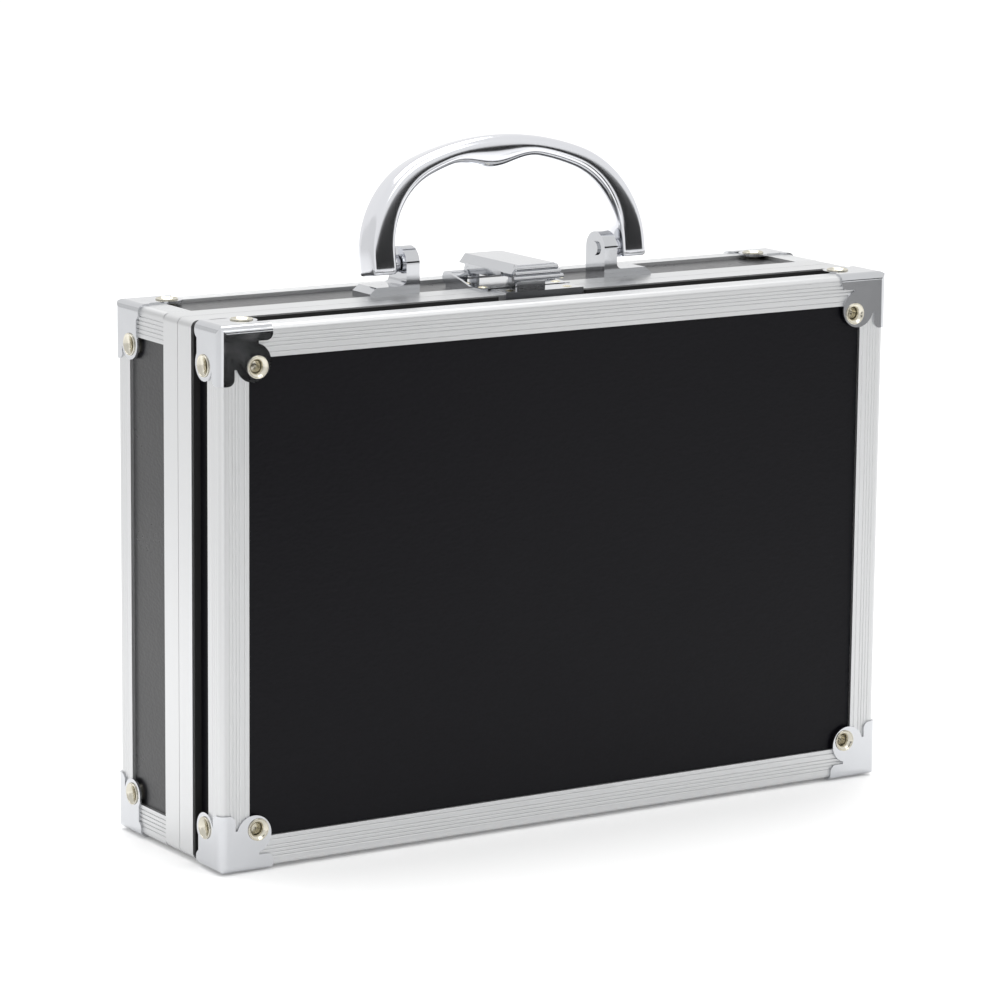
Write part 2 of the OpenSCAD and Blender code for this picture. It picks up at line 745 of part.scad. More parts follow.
// Places of the plate's rivets; +Z points down into the case
module latch_rivet_spots() translate([fittings_x, 0, case_h + sheet_t])
    for (x = [-15.5, 15.5], d = [latch_start + 4, latch_start + 15.5])
        translate([x, d, 0]) rotate([180, 0, 0]) children();

module strike_rivet_spots() translate([fittings_x, 0, case_h + strike_t]) for (x = [-12, 12])
    translate([x + strike_x, lid_frame_start + 3.2, 0]) rotate([180, 0, 0]) children();

module latch_rivets() color(brass) in_case() latch_rivet_spots() small_rivet();
module strike_rivets() color(brass) in_case() strike_rivet_spots() small_rivet();

// Strike: a plate on the lid's frame, turned down over its front wall, with a raised catch
module strike_plate() color(chrome) difference() {
    at_latch() {
        translate([strike_x, 0, 0]) {
            box_from([-strike_w / 2, lid_frame_start - strike_t, 0],
                [strike_w / 2, lid_frame_end - 0.4, strike_t]);
            box_from([-strike_w / 2, lid_frame_start - strike_t, -strike_front_drop],
                [strike_w / 2, lid_frame_start, eps]);
        }
        box_from([-strike_lip_w / 2, strike_lip_d, 0], [strike_lip_w / 2, strike_lip_d + 1, strike_lip_top]);
    }
    in_case() strike_rivet_spots() small_rivet_hole();
}

cheek_x = lever_w / 2 - sheet_t;

module lever_cheek() translate([cheek_x, 0, 0]) rotate([90, 0, 90]) linear_extrude(sheet_t) difference() {
    union() {
        polygon([[lever_front + 7, shoulder_h + 0.2], [lever_front + 7, shoulder_h - 0.8],
            [hook_pivot_d - 2, hook_pivot_h - 1.6], [hook_pivot_d + 3, hook_pivot_h - 1.6],
            [lever_pivot_d, lever_pivot_h - 1], [lever_pivot_d + 2.4, shoulder_h + 0.2]]);
        translate([lever_pivot_d, lever_pivot_h]) circle(lever_lug_r);
    }
    translate([lever_pivot_d, lever_pivot_h]) circle(lever_bore_r);
    translate([hook_pivot_d, hook_pivot_h]) circle(hook_bore_r);
}

// Lever: a hood with sloping sides, two cheeks and a finger lip of round beads at its front
module latch_lever() color(chrome) at_latch() {
    through(lever_front, lever_rear) polygon([[-lever_w / 2, shoulder_h], [-hood_w / 2, lever_h],
        [hood_w / 2, lever_h], [lever_w / 2, shoulder_h], [lever_w / 2 - sheet_t, shoulder_h],
        [hood_w / 2 - 0.7, lever_h - sheet_t], [0.7 - hood_w / 2, lever_h - sheet_t],
        [sheet_t - lever_w / 2, shoulder_h]]);
    both_sides() lever_cheek();
    intersection() {
        through(lever_front - 3, lever_front + 1.5)
            polygon([[-lever_w / 2 - 0.6, 0], [-hood_w / 2 - 0.6, lever_h],
                [hood_w / 2 + 0.6, lever_h], [lever_w / 2 + 0.6, 0]]);
        along_x(lever_w + 4) polygon([[lever_front + 1.4, lever_h], [lever_front - 0.2, lever_h - 0.4],
            [lever_front - lip_reach + 0.3, lever_h - lip_drop],
            [lever_front - lip_reach + 1.5, lever_h - lip_drop], [lever_front + 1.4, lever_h - sheet_t]]);
    }
    for (i = [0 : lip_beads - 1]) {
        f = (i + 0.55) / lip_beads;
        width = hood_w + 1.2 + (lever_w - hood_w) * f;
        translate([0, lever_front - 0.2 - (lip_reach - 0.5) * f, lever_h - 0.4 - (lip_drop - 0.4) * f])
            rotate([0, 90, 0]) cylinder(r = lip_bead_r, h = width, center = true);
    }
}

module hook_pin() color(chrome) at_latch() translate([0, hook_pivot_d, hook_pivot_h])
    rotate([0, 90, 0]) cylinder(r = hook_pin_r, h = lever_w, center = true);

// Hook: a barrel on its pin, a flat draw plate and a nose turned down before the catch
module latch_hook() color(chrome) at_latch() difference() {
    union() {
        translate([0, hook_pivot_d, hook_pivot_h]) rotate([0, 90, 0])
            cylinder(r = 1.6, h = hook_w, center = true);
        along_x(hook_w) polygon([[hook_pivot_d, hook_pivot_h - 1.5], [hook_pivot_d, hook_pivot_h - 0.3],
            [hook_front + 0.4, hook_tip_h + 2], [hook_front, hook_tip_h + 1.6], [hook_front, hook_tip_h],
            [hook_front + 1.2, hook_tip_h], [hook_front + 1.2, hook_tip_h + 0.8]]);
    }
    translate([0, hook_pivot_d, hook_pivot_h]) rotate([0, 90, 0])
        cylinder(r = hook_bore_r, h = hook_w + 2, center = true);
}

front_panel();
lid_left_board();
lid_right_board();
lid_top_board();
lid_bottom_board();
front_angle_left();
front_angle_right();
front_angle_top();
front_angle_bottom();
lid_mating_frame();
lid_edge_trim();
lid_lining();
front_cap_top_left();
front_cap_top_right();
front_cap_bottom_left();
front_cap_bottom_right();
lid_cap_eyelets();
strike_plate();
strike_rivets();
lid_hinge_leaves();
lid_hinge_rivets();
back_panel();
base_left_board();
base_right_board();
base_top_board();
base_bottom_board();
back_angle_left();
back_angle_right();
back_angle_top();
back_angle_bottom();
depth_angle_top_left();
depth_angle_top_right();
depth_angle_bottom_left();
depth_angle_bottom_right();
base_mating_frame();
base_lining();
back_cap_top_left();
back_cap_top_right();
back_cap_bottom_left();
back_cap_bottom_right();
base_cap_eyelets();
base_hinge_leaves();
base_hinge_rivets();
hinge_pins();
handle_bracket_left();
handle_bracket_right();
handle_bracket_rivets();
handle_pins();
latch_plate();
latch_rivets();
latch_pin();
handle();
latch_lever();
hook_pin();
latch_hook();
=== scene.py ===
"""Looks for a small aluminium-framed carrying case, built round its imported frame.

Every piece is made in metres in the frame's own coordinates: +X along the width, -Y towards
the lid's face and +Z up through the handle.
"""

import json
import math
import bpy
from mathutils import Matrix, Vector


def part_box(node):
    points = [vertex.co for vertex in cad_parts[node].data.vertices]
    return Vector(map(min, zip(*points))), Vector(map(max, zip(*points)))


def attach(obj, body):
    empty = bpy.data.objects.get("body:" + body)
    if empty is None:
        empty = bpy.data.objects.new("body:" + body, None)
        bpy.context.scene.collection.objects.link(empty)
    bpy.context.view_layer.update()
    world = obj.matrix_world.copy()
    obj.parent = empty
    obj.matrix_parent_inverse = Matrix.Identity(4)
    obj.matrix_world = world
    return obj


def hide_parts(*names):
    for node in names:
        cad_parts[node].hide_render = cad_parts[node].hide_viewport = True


bl_info = {
    "name": "Aluminium Framed Case",
    "version": (1, 0, 0),
    "blender": (4, 5, 0),
    "location": "View3D > Sidebar > Case",
    "description": "Finishes, trim and stage for a small aluminium-framed carrying case",
    "category": "Object",
}

import bmesh
import bpy
from mathutils import Matrix, Vector

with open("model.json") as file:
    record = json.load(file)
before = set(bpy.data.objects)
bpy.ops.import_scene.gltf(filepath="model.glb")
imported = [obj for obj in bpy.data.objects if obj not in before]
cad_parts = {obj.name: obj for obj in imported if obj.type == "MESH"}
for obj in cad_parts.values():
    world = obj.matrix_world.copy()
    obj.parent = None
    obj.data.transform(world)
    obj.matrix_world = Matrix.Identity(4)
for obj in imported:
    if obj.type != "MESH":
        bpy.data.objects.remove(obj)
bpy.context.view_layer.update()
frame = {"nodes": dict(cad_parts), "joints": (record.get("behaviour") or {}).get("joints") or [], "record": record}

# Places of each cap's hollow rivets, measured from the frame's own faces, and the cap's sheet over them
RIVET_IN = 0.0140
RIVET_DEPTH = 0.0106
CAP_SHEET = 0.0008

# Shape of the handle's bar: its two arcs, the rounding at its feet, its section and its finger swell
CORNER_R = 0.038
SPRING = 0.002
CLIMB_POWER = 1.4
FOOT_SQUARENESS = 5.0
GRIP_SQUARENESS = 2.4
SECTION_POINTS = 56
SIDE_STEPS = 40
TOP_STEPS = 60
SWELL_X = -0.003
SWELL_HALF = 0.020
FOOT_ROUNDING = ((-0.0038, 0.80), (-0.00374, 0.87), (-0.0035, 0.93), (-0.0031, 0.97), (-0.0024, 0.993),
                 (-0.0014, 1.0))

# Bosses between the handle's feet and its brackets
EAR_THICKNESS = 0.0058
BOSS_R = 0.0032
BOSS_BORE_R = 0.00165
BOSS_EDGE = 0.0003

# Point that the camera aims at, with its shift across and up the picture
AIM = Vector((0, -0.0375, 0.0963))
AIM_ACROSS = -0.02319
AIM_UP = 0.02251


# ---------- measures taken from the frame ----------

def cap_names():
    """The nodes of the eight corner caps."""
    return [f"{face}_cap_{level}_{hand}" for face in ("front", "back")
            for level in ("top", "bottom") for hand in ("left", "right")]


def joint_place(name):
    """Where a joint's axis is at rest."""
    for joint in frame["joints"]:
        if joint["name"] == name:
            return Vector(joint["pos_m"])
    raise RuntimeError(f"the frame has no joint {name}")


# ---------- shader building ----------

class Value:
    """A shader socket that can be used in arithmetic."""

    def __init__(self, tree, socket):
        self.tree = tree
        self.socket = socket

    def _math(self, operation, first, second):
        node = self.tree.nodes.new("ShaderNodeMath")
        node.operation = operation
        for socket, value in zip(node.inputs, (first, second)):
            if isinstance(value, Value):
                self.tree.links.new(value.socket, socket)
            else:
                socket.default_value = value
        return Value(self.tree, node.outputs[0])

    def __add__(self, other):
        return self._math("ADD", self, other)

    def __radd__(self, other):
        return self._math("ADD", other, self)

    def __sub__(self, other):
        return self._math("SUBTRACT", self, other)

    def __rsub__(self, other):
        return self._math("SUBTRACT", other, self)

    def __mul__(self, other):
        return self._math("MULTIPLY", self, other)

    def __rmul__(self, other):
        return self._math("MULTIPLY", other, self)

    def __gt__(self, other):
        return self._math("GREATER_THAN", self, other)

    def size(self):
        return self._math("ABSOLUTE", self, 0.0)


class Finish:
    """One material's node tree, with a single method that adds any node to it."""

    def __init__(self, name):
        self.material = bpy.data.materials.new(name)
        self.material.use_nodes = True
        self.tree = self.material.node_tree
        self.tree.nodes.clear()
        self.shader = self.node("ShaderNodeBsdfPrincipled")
        output = self.node("ShaderNodeOutputMaterial")
        self.tree.links.new(self.shader.outputs[0], output.inputs["Surface"])

    def node(self, kind, settings=None, **inputs):
        made = self.tree.nodes.new(kind)
        for key, value in (settings or {}).items():
            setattr(made, key, value)
        for key, value in inputs.items():
            socket = made.inputs[key.replace("_", " ")]
            if isinstance(value, Value):
                self.tree.links.new(value.socket, socket)
            else:
                socket.default_value = value
        return made

    def value(self, node, name=0):
        return Value(self.tree, node.outputs[name])

    def axes(self):
        place = self.value(self.node("ShaderNodeTexCoord"), "Object")
        split = self.node("ShaderNodeSeparateXYZ", Vector=place)
        return place, [self.value(split, axis) for axis in ("X", "Y", "Z")]

    def stretched(self, place, scale):
        return self.value(self.node("ShaderNodeMapping", Vector=place, Scale=scale))

    def ramp(self, value, low, high):
        """0 below low, 1 above high and a smooth rise between them."""
        made = self.node("ShaderNodeMapRange", {"interpolation_type": "SMOOTHSTEP"})
        self.tree.links.new(value.socket, made.inputs["Value"])
        made.inputs["From Min"].default_value = low
        made.inputs["From Max"].default_value = high
        return self.value(made)

    def band(self, value, span, soft):
        """1 inside a span and 0 outside it, with soft ends that stay within the span."""
        low, high = span
        return self.ramp(value, low, low + soft) * (1.0 - self.ramp(value, high - soft, high))

    def noise(self, place, scale, detail=3.0):
        return self.value(self.node("ShaderNodeTexNoise", Vector=place, Scale=scale, Detail=detail), 0)

    def mix(self, factor, first, second):
        made = self.node("ShaderNodeMix", {"data_type": "RGBA"})
        for socket, value in ((made.inputs[0], factor), (made.inputs[6], first), (made.inputs[7], second)):
            if isinstance(value, Value):
                self.tree.links.new(value.socket, socket)
            else:
                socket.default_value = value
        return Value(self.tree, made.outputs[2])

    def feed(self, name, value):
        socket = self.shader.inputs[name]
        if isinstance(value, Value):
            self.tree.links.new(value.socket, socket)
        else:
            socket.default_value = value

    def bump(self, height, strength, distance):
        made = self.node("ShaderNodeBump", Strength=strength, Distance=distance, Height=height)
        self.feed("Normal", self.value(made))


def rgba(colour):
    return (*colour[:3], 1.0)


def leatherette(name, colour, roughness, grain, gloss):
    """Near-black sheet with a fine pebbled grain that is drawn out a little across the face."""
    finish = Finish(name)
    place, _axes = finish.axes()
    creased = finish.stretched(place, (0.6, 0.6, 1.0))
    cells = finish.value(finish.node("ShaderNodeTexVoronoi", {"feature": "SMOOTH_F1"},
                                     Vector=creased, Scale=grain, Smoothness=0.6), "Distance")
    pebbles = finish.noise(creased, grain * 0.55, 4.0)
    wear = finish.noise(place, 38.0, 2.0)
    darker = tuple(0.72 * c for c in colour[:3])
    finish.feed("Base Color", finish.mix(cells, rgba(darker), rgba(colour)))
    finish.feed("Roughness", wear * 0.12 + pebbles * 0.10 + (roughness - 0.11))
    finish.feed("Specular IOR Level", gloss)
    finish.bump(cells * 0.7 + pebbles * 0.6, 0.55, 0.00012)
    return finish.material


def brushed(name, colour, roughness, along, bands=None):
    """Satin metal with fine streaks along one axis, or along the nearer side of a ring."""
    finish = Finish(name)
    place, (x, _y, _z) = finish.axes()
    fine = {"X": (14.0, 1500.0, 1500.0), "Y": (1500.0, 14.0, 1500.0), "Z": (1500.0, 1500.0, 14.0)}
    if along == "ring":
        level = finish.noise(finish.stretched(place, fine["X"]), 1.0, 2.0)
        upright = finish.noise(finish.stretched(place, fine["Z"]), 1.0, 2.0)
        on_side = x.size() > bands
        streaks = level + on_side * (upright - level)
    else:
        streaks = finish.noise(finish.stretched(place, fine[along]), 1.0, 2.0)
    cloud = finish.noise(place, 24.0, 2.0)
    tone = streaks * 0.5 + cloud * 0.5
    low = tuple(0.96 * c for c in colour[:3])
    finish.feed("Base Color", finish.mix(tone, rgba(low), rgba(colour)))
    finish.feed("Metallic", 1.0)
    finish.feed("Roughness", streaks * 0.16 + cloud * 0.05 + (roughness - 0.10))
    finish.bump(streaks, 0.05, 0.00002)
    return finish.material


def polished(name, colour, roughness, waviness=0.0):
    """Bright metal with faint smears, and slight waves where the sheet or casting isn't flat."""
    finish = Finish(name)
    place, _axes = finish.axes()
    smear = finish.noise(place, 60.0, 3.0)
    specks = finish.noise(place, 900.0, 2.0)
    low = tuple(0.9 * c for c in colour[:3])
    finish.feed("Base Color", finish.mix(smear, rgba(low), rgba(colour)))
    finish.feed("Metallic", 1.0)
    finish.feed("Roughness", smear * 0.08 + specks * 0.03 + (roughness - 0.04))
    if waviness:
        finish.bump(finish.noise(place, 130.0, 1.0), waviness, 0.0004)
    return finish.material


def flock(name, colour):
    """Short-fibred lining."""
    finish = Finish(name)
    place, _axes = finish.axes()
    fibres = finish.noise(place, 2600.0, 3.0)
    patches = finish.noise(place, 45.0, 2.0)
    light = tuple(1.9 * c for c in colour[:3])
    finish.feed("Base Color", finish.mix(fibres * 0.6 + patches * 0.4, rgba(colour), rgba(light)))
    finish.feed("Roughness", fibres * 0.1 + 0.86)
    finish.feed("Sheen Weight", 0.35)
    finish.feed("Sheen Roughness", 0.4)
    finish.bump(fibres, 0.5, 0.0002)
    return finish.material


def matt_trim(name, colour):
    """Dull moulded strip."""
    finish = Finish(name)
    place, _axes = finish.axes()
    grit = finish.noise(place, 1400.0, 2.0)
    light = tuple(1.5 * c for c in colour[:3])
    finish.feed("Base Color", finish.mix(grit, rgba(colour), rgba(light)))
    finish.feed("Roughness", grit * 0.15 + 0.5)
    finish.bump(grit, 0.2, 0.00005)
    return finish.material


# ---------- mesh building ----------

def new_piece(name, mesh_maker, material, body, smooth_angle=40):
    """Makes a mesh piece from a bmesh, gives it a finish and lets it ride on a body."""
    mesh = bpy.data.meshes.new(name)
    work = bmesh.new()
    mesh_maker(work)
    bmesh.ops.remove_doubles(work, verts=work.verts, dist=1e-7)
    bmesh.ops.recalc_face_normals(work, faces=work.faces)
    work.to_mesh(mesh)
    work.free()
    piece = bpy.data.objects.new(name, mesh)
    bpy.context.scene.collection.objects.link(piece)
    mesh.materials.append(material)
    mesh.shade_smooth()
    mesh.set_sharp_from_angle(angle=math.radians(smooth_angle))
    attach(piece, body)
    return piece


def add_loft(work, rings):
    """Skins closed rings of equal length one after the other and closes both ends."""
    made = [[work.verts.new(point) for point in ring] for ring in rings]
    count = len(rings[0])
    for near, far in zip(made, made[1:]):
        for i in range(count):
            j = (i + 1) % count
            work.faces.new((near[i], near[j], far[j], far[i]))
    work.faces.new(list(reversed(made[0])))
    work.faces.new(made[-1])


def add_lathe(work, profile, place, steps=40):
    """Turns a closed (radius, height) profile about the Z axis of a placing matrix."""
    rings = []
    for radius, height in profile:
        rings.append([place @ Vector((radius * math.cos(a), radius * math.sin(a), height))
                      for a in (2 * math.pi * k / steps for k in range(steps))])
    made = [[work.verts.new(point) for point in ring] for ring in rings]
    for near, far in zip(made, made[1:] + made[:1]):
        for i in range(steps):
            j = (i + 1) % steps
            work.faces.new((near[i], near[j], far[j], far[i]))


# ---------- sizes ----------

class CaseHandleSizes(bpy.types.PropertyGroup):
    """Sizes of the handle's finished bar."""

    width: bpy.props.FloatProperty(
        name="Width", description="Overall width of the handle", default=0.117, unit="LENGTH")
    rise: bpy.props.FloatProperty(
        name="Rise", description="Rise of the handle above its pivots", default=0.0437, unit="LENGTH")
    foot_thickness: bpy.props.FloatProperty(
        name="Foot thickness", description="Thickness of the feet seen from the front", default=0.0106,
        unit="LENGTH")
    grip_thickness: bpy.props.FloatProperty(
        name="Grip thickness", description="Thickness of the grip seen from the front", default=0.0076,
        unit="LENGTH")
    depth: bpy.props.FloatProperty(
        name="Depth", description="Depth of the bar's section", default=0.012, unit="LENGTH")
    lean: bpy.props.FloatProperty(
        name="Lean", description="Angle at which the handle leans back", default=math.radians(9),
        subtype="ANGLE")
    swell: bpy.props.FloatProperty(
        name="Swell", description="Depth of the swell under the grip", default=0.0044, unit="LENGTH")


class CaseFinishColours(bpy.types.PropertyGroup):
    """Colours of the case's finishes."""

    leatherette: bpy.props.FloatVectorProperty(
        name="Leatherette", description="Colour of the face panels", subtype="COLOR", size=3,
        default=(0.0034, 0.0033, 0.0050))
    side_boards: bpy.props.FloatVectorProperty(
        name="Side boards", description="Colour of the boards round the base", subtype="COLOR", size=3,
        default=(0.010, 0.010, 0.012))
    aluminium: bpy.props.FloatVectorProperty(
        name="Aluminium", description="Colour of the satin aluminium", subtype="COLOR", size=3,
        default=(0.62, 0.625, 0.63))
    chrome: bpy.props.FloatVectorProperty(
        name="Chrome", description="Colour of the polished caps and fittings", subtype="COLOR", size=3,
        default=(0.59, 0.60, 0.62))
    brass: bpy.props.FloatVectorProperty(
        name="Pale brass", description="Colour of the hollow rivets", subtype="COLOR", size=3,
        default=(0.66, 0.63, 0.54))


class CaseStageSizes(bpy.types.PropertyGroup):
    """Sizes of the stage and the camera's place."""

    floor_width: bpy.props.FloatProperty(
        name="Floor width", description="Width of the pale floor", default=9.0, unit="LENGTH")
    azimuth: bpy.props.FloatProperty(
        name="Azimuth", description="Camera's angle to the left of the front", default=math.radians(32.43),
        subtype="ANGLE")
    elevation: bpy.props.FloatProperty(
        name="Elevation", description="Camera's angle above the horizon", default=math.radians(10.96),
        subtype="ANGLE")
    roll: bpy.props.FloatProperty(
        name="Roll", description="Camera's turn about its own line of sight", default=math.radians(0.55),
        subtype="ANGLE")
    distance: bpy.props.FloatProperty(
        name="Distance", description="Camera's distance from its aim", default=1.59775, unit="LENGTH")
    lens: bpy.props.FloatProperty(
        name="Lens", description="Focal length in millimetres", default=160.9)


# ---------- operators ----------

class CASE_OT_finishes(bpy.types.Operator):
    """Gives every part of the frame its finish"""

    bl_idname = "case.finishes"
    bl_label = "Finishes"

    def execute(self, context):
        colours = context.scene.case_colours
        made = {
            "face_panels": leatherette("face_leatherette", colours.leatherette, 0.36, 900.0, 0.12),
            "lid_boards": leatherette("lid_side_leatherette", colours.leatherette, 0.36, 900.0, 0.12),
            "base_boards": leatherette("base_side_leatherette", colours.side_boards, 0.30, 1050.0, 0.48),
            "lining": flock("black_flock", (0.012, 0.012, 0.013)),
            "edge_trim": matt_trim("black_trim", (0.008, 0.008, 0.008)),
            "mating_frames": brushed("mating_frame_aluminium", colours.aluminium, 0.34, "ring", 0.1345),
            "eyelets": polished("pale_brass", colours.brass, 0.16),
            "corner_caps": polished("cap_chrome", colours.chrome, 0.10, 0.28),
            "small_brass_rivets": polished("small_brass", (0.78, 0.72, 0.55), 0.2),
            "hinges": polished("hinge_nickel", (0.74, 0.745, 0.75), 0.2),
            "handle_chrome": polished("handle_chrome", colours.chrome, 0.06, 0.06),
            "latch_chrome": polished("latch_chrome", colours.chrome, 0.12, 0.05),
        }
        angles = {
            "level": brushed("angle_aluminium_level", colours.aluminium, 0.42, "X"),
            "upright": brushed("angle_aluminium_upright", colours.aluminium, 0.42, "Z"),
            "depth": brushed("angle_aluminium_depth", colours.aluminium, 0.42, "Y"),
        }
        for part in frame["record"]["subparts"]:
            node, slot = part["node"], part["material_slot"]
            if slot == "edge_angles":
                kind = "depth" if node.startswith("depth") else (
                    "upright" if node.endswith(("left", "right")) else "level")
                material = angles[kind]
            else:
                material = made[slot]
            shown = frame["nodes"][node]
            shown.data.materials.clear()
            shown.data.materials.append(material)
        return {"FINISHED"}


class CASE_OT_handle(bpy.types.Operator):
    """Makes the smooth polished handle in place of the plain one"""

    bl_idname = "case.handle"
    bl_label = "Handle"

    def execute(self, context):
        sizes = context.scene.case_handle
        pivot = joint_place("handle_hinge")
        half, rise = sizes.width / 2, sizes.rise
        foot_t, grip_t = sizes.foot_thickness, sizes.grip_thickness
        corner_x = half - CORNER_R
        top_r = (corner_x ** 2 + (rise - SPRING) ** 2 - CORNER_R ** 2) / (2 * (rise - SPRING - CORNER_R))
        top_z = rise - top_r
        top_half = math.atan2(corner_x, SPRING - top_z)

        def climb(z):
            return max(0.0, min(1.0, z / rise)) ** CLIMB_POWER

        def on_arc(cx, cz, r, a):
            t = foot_t + (grip_t - foot_t) * climb(cz + r * math.sin(a))
            return (cx + (r - t / 2) * math.cos(a), cz + (r - t / 2) * math.sin(a), a, 1.0, t)

        foot = [(half - foot_t / 2, z, 0.0, scale, foot_t) for z, scale in FOOT_ROUNDING]
        side_turn = (math.pi / 2 - top_half) / SIDE_STEPS
        side = foot + [on_arc(corner_x, SPRING, CORNER_R, i * side_turn) for i in range(SIDE_STEPS + 1)]
        top_turn = 2 * top_half / TOP_STEPS
        top = [on_arc(0, top_z, top_r, math.pi / 2 - top_half + i * top_turn) for i in range(1, TOP_STEPS)]
        other = [(-x, z, math.pi - a, s, t) for x, z, a, s, t in reversed(side)]
        place = Matrix.Translation(pivot) @ Matrix.Rotation(-sizes.lean, 4, "X")

        def squared(c, power):
            return math.copysign(abs(c) ** (2 / power), c)

        rings = []
        for x, z, a, s, t in side + top + other:
            off = (x - SWELL_X) / SWELL_HALF
            swell = sizes.swell * math.cos(math.pi / 2 * off) ** 2 if abs(off) < 1 else 0.0
            power = FOOT_SQUARENESS + (GRIP_SQUARENESS - FOOT_SQUARENESS) * climb(z)
            ring = []
            for k in range(SECTION_POINTS):
                turn = 2 * math.pi * (k + 0.5) / SECTION_POINTS
                u = squared(math.cos(turn), power) * (t / 2 + (swell if math.cos(turn) < 0 else 0.0)) * s
                v = squared(math.sin(turn), power) * sizes.depth / 2 * s
                ring.append(place @ Vector((x + u * math.cos(a), v, z + u * math.sin(a))))
            rings.append(ring)

        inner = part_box("handle_bracket_right")[0][0] + EAR_THICKNESS - pivot.x

        def build(work):
            add_loft(work, rings)
            for hand in (1, -1):
                start, end = hand * inner, hand * (half - foot_t + 0.001)
                boss = place @ Matrix.Rotation(math.pi / 2, 4, "Y")
                low, high = min(start, end), max(start, end)
                add_lathe(work, [(BOSS_BORE_R, low), (BOSS_R - BOSS_EDGE, low), (BOSS_R, low + BOSS_EDGE),
                                 (BOSS_R, high - BOSS_EDGE), (BOSS_R - BOSS_EDGE, high), (BOSS_BORE_R, high)],
                          boss)

        material = bpy.data.materials["handle_chrome"]
        piece = new_piece("handle_bar", build, material, "handle", 50)
        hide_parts("handle")
        return {"FINISHED"}


def repeat_tree(name, material):
    """A node group that sets a turned shape at every point, facing the way the point's arrow does."""
    tree = bpy.data.node_groups.new(name, "GeometryNodeTree")
    tree.interface.new_socket("Geometry", in_out="INPUT", socket_type="NodeSocketGeometry")
    size = tree.interface.new_socket("Size", in_out="INPUT", socket_type="NodeSocketFloat")
    size.default_value = 1.0
    shape = tree.interface.new_socket("Shape", in_out="INPUT", socket_type="NodeSocketObject")
    tree.interface.new_socket("Geometry", in_out="OUTPUT", socket_type="NodeSocketGeometry")
    nodes, links = tree.nodes, tree.links
    entry = nodes.new("NodeGroupInput")
    points = nodes.new("GeometryNodeMeshToPoints")
    facing = nodes.new("GeometryNodeInputNamedAttribute")
    facing.data_type = "FLOAT_VECTOR"
    facing.inputs["Name"].default_value = "facing"
    turn = nodes.new("FunctionNodeAlignRotationToVector")
    turn.axis = "Z"
    info = nodes.new("GeometryNodeObjectInfo")
    put = nodes.new("GeometryNodeInstanceOnPoints")
    real = nodes.new("GeometryNodeRealizeInstances")
    paint = nodes.new("GeometryNodeSetMaterial")
    paint.inputs["Material"].default_value = material
    leave = nodes.new("NodeGroupOutput")
    links.new(entry.outputs["Geometry"], points.inputs["Mesh"])
    links.new(facing.outputs["Attribute"], turn.inputs["Vector"])
    links.new(entry.outputs["Shape"], info.inputs["Object"])
    links.new(points.outputs["Points"], put.inputs["Points"])
    links.new(info.outputs["Geometry"], put.inputs["Instance"])
    links.new(turn.outputs["Rotation"], put.inputs["Rotation"])
    links.new(entry.outputs["Size"], put.inputs["Scale"])
    links.new(put.outputs["Instances"], real.inputs["Geometry"])
    links.new(real.outputs["Geometry"], paint.inputs["Geometry"])
    links.new(paint.outputs["Geometry"], leave.inputs["Geometry"])
    return tree, size.identifier, shape.identifier


def turned_shape(name, profile, steps):
    """Makes a smooth turned object about Z for the node group to repeat."""
    mesh = bpy.data.meshes.new(name)
    work = bmesh.new()
    add_lathe(work, profile, Matrix.Identity(4), steps)
    bmesh.ops.remove_doubles(work, verts=work.verts, dist=1e-7)
    bmesh.ops.recalc_face_normals(work, faces=work.faces)
    work.to_mesh(mesh)
    work.free()
    mesh.shade_smooth()
    shape = bpy.data.objects.new(name, mesh)
    bpy.context.scene.collection.objects.link(shape)
    return shape


def repeated_piece(name, places, shape, tree, material, body):
    """Sets the shape at every place with the node group and keeps the result as one plain mesh."""
    group, size_input, shape_input = tree
    spots = bpy.data.meshes.new(name + "_spots")
    spots.from_pydata([tuple(p) for p, _f in places], [], [])
    facing = spots.attributes.new("facing", "FLOAT_VECTOR", "POINT")
    for i, (_p, f) in enumerate(places):
        facing.data[i].vector = f
    holder = bpy.data.objects.new(name + "_spots", spots)
    bpy.context.scene.collection.objects.link(holder)
    modifier = holder.modifiers.new("Repeat", "NODES")
    modifier.node_group = group
    modifier[size_input] = 1.0
    modifier[shape_input] = shape
    evaluated = holder.evaluated_get(bpy.context.evaluated_depsgraph_get())
    result = bpy.data.meshes.new_from_object(evaluated)
    if not len(result.polygons):
        raise RuntimeError(f"{name} came out empty")
    result.name = name
    bpy.data.objects.remove(holder)
    piece = bpy.data.objects.new(name, result)
    bpy.context.scene.collection.objects.link(piece)
    if not len(result.materials):
        result.materials.append(material)
    result.set_sharp_from_angle(angle=math.radians(60))
    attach(piece, body)
    return piece


def rivet_places(face):
    """Where each hollow rivet of the lid or the base sits, with the way its rim faces."""
    found = []
    for name in cap_names():
        if not name.startswith(face):
            continue
        low, high = (Vector(c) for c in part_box(name))
        right, top, back = name.endswith("right"), "_top_" in name, face == "back"
        corner = Vector((high.x if right else low.x, high.y if back else low.y, high.z if top else low.z))
        sign = Vector((-1 if right else 1, -1 if back else 1, -1 if top else 1))
        edge, deep = RIVET_IN + CAP_SHEET, RIVET_DEPTH + CAP_SHEET
        offsets = ((Vector((edge, 0, edge)), Vector((0, -sign.y, 0))),
                   (Vector((0, deep, edge)), Vector((-sign.x, 0, 0))),
                   (Vector((edge, deep, 0)), Vector((0, 0, -sign.z))))
        for offset, facing in offsets:
            found.append((corner + Vector(o * s for o, s in zip(offset, sign)), facing))
    return found


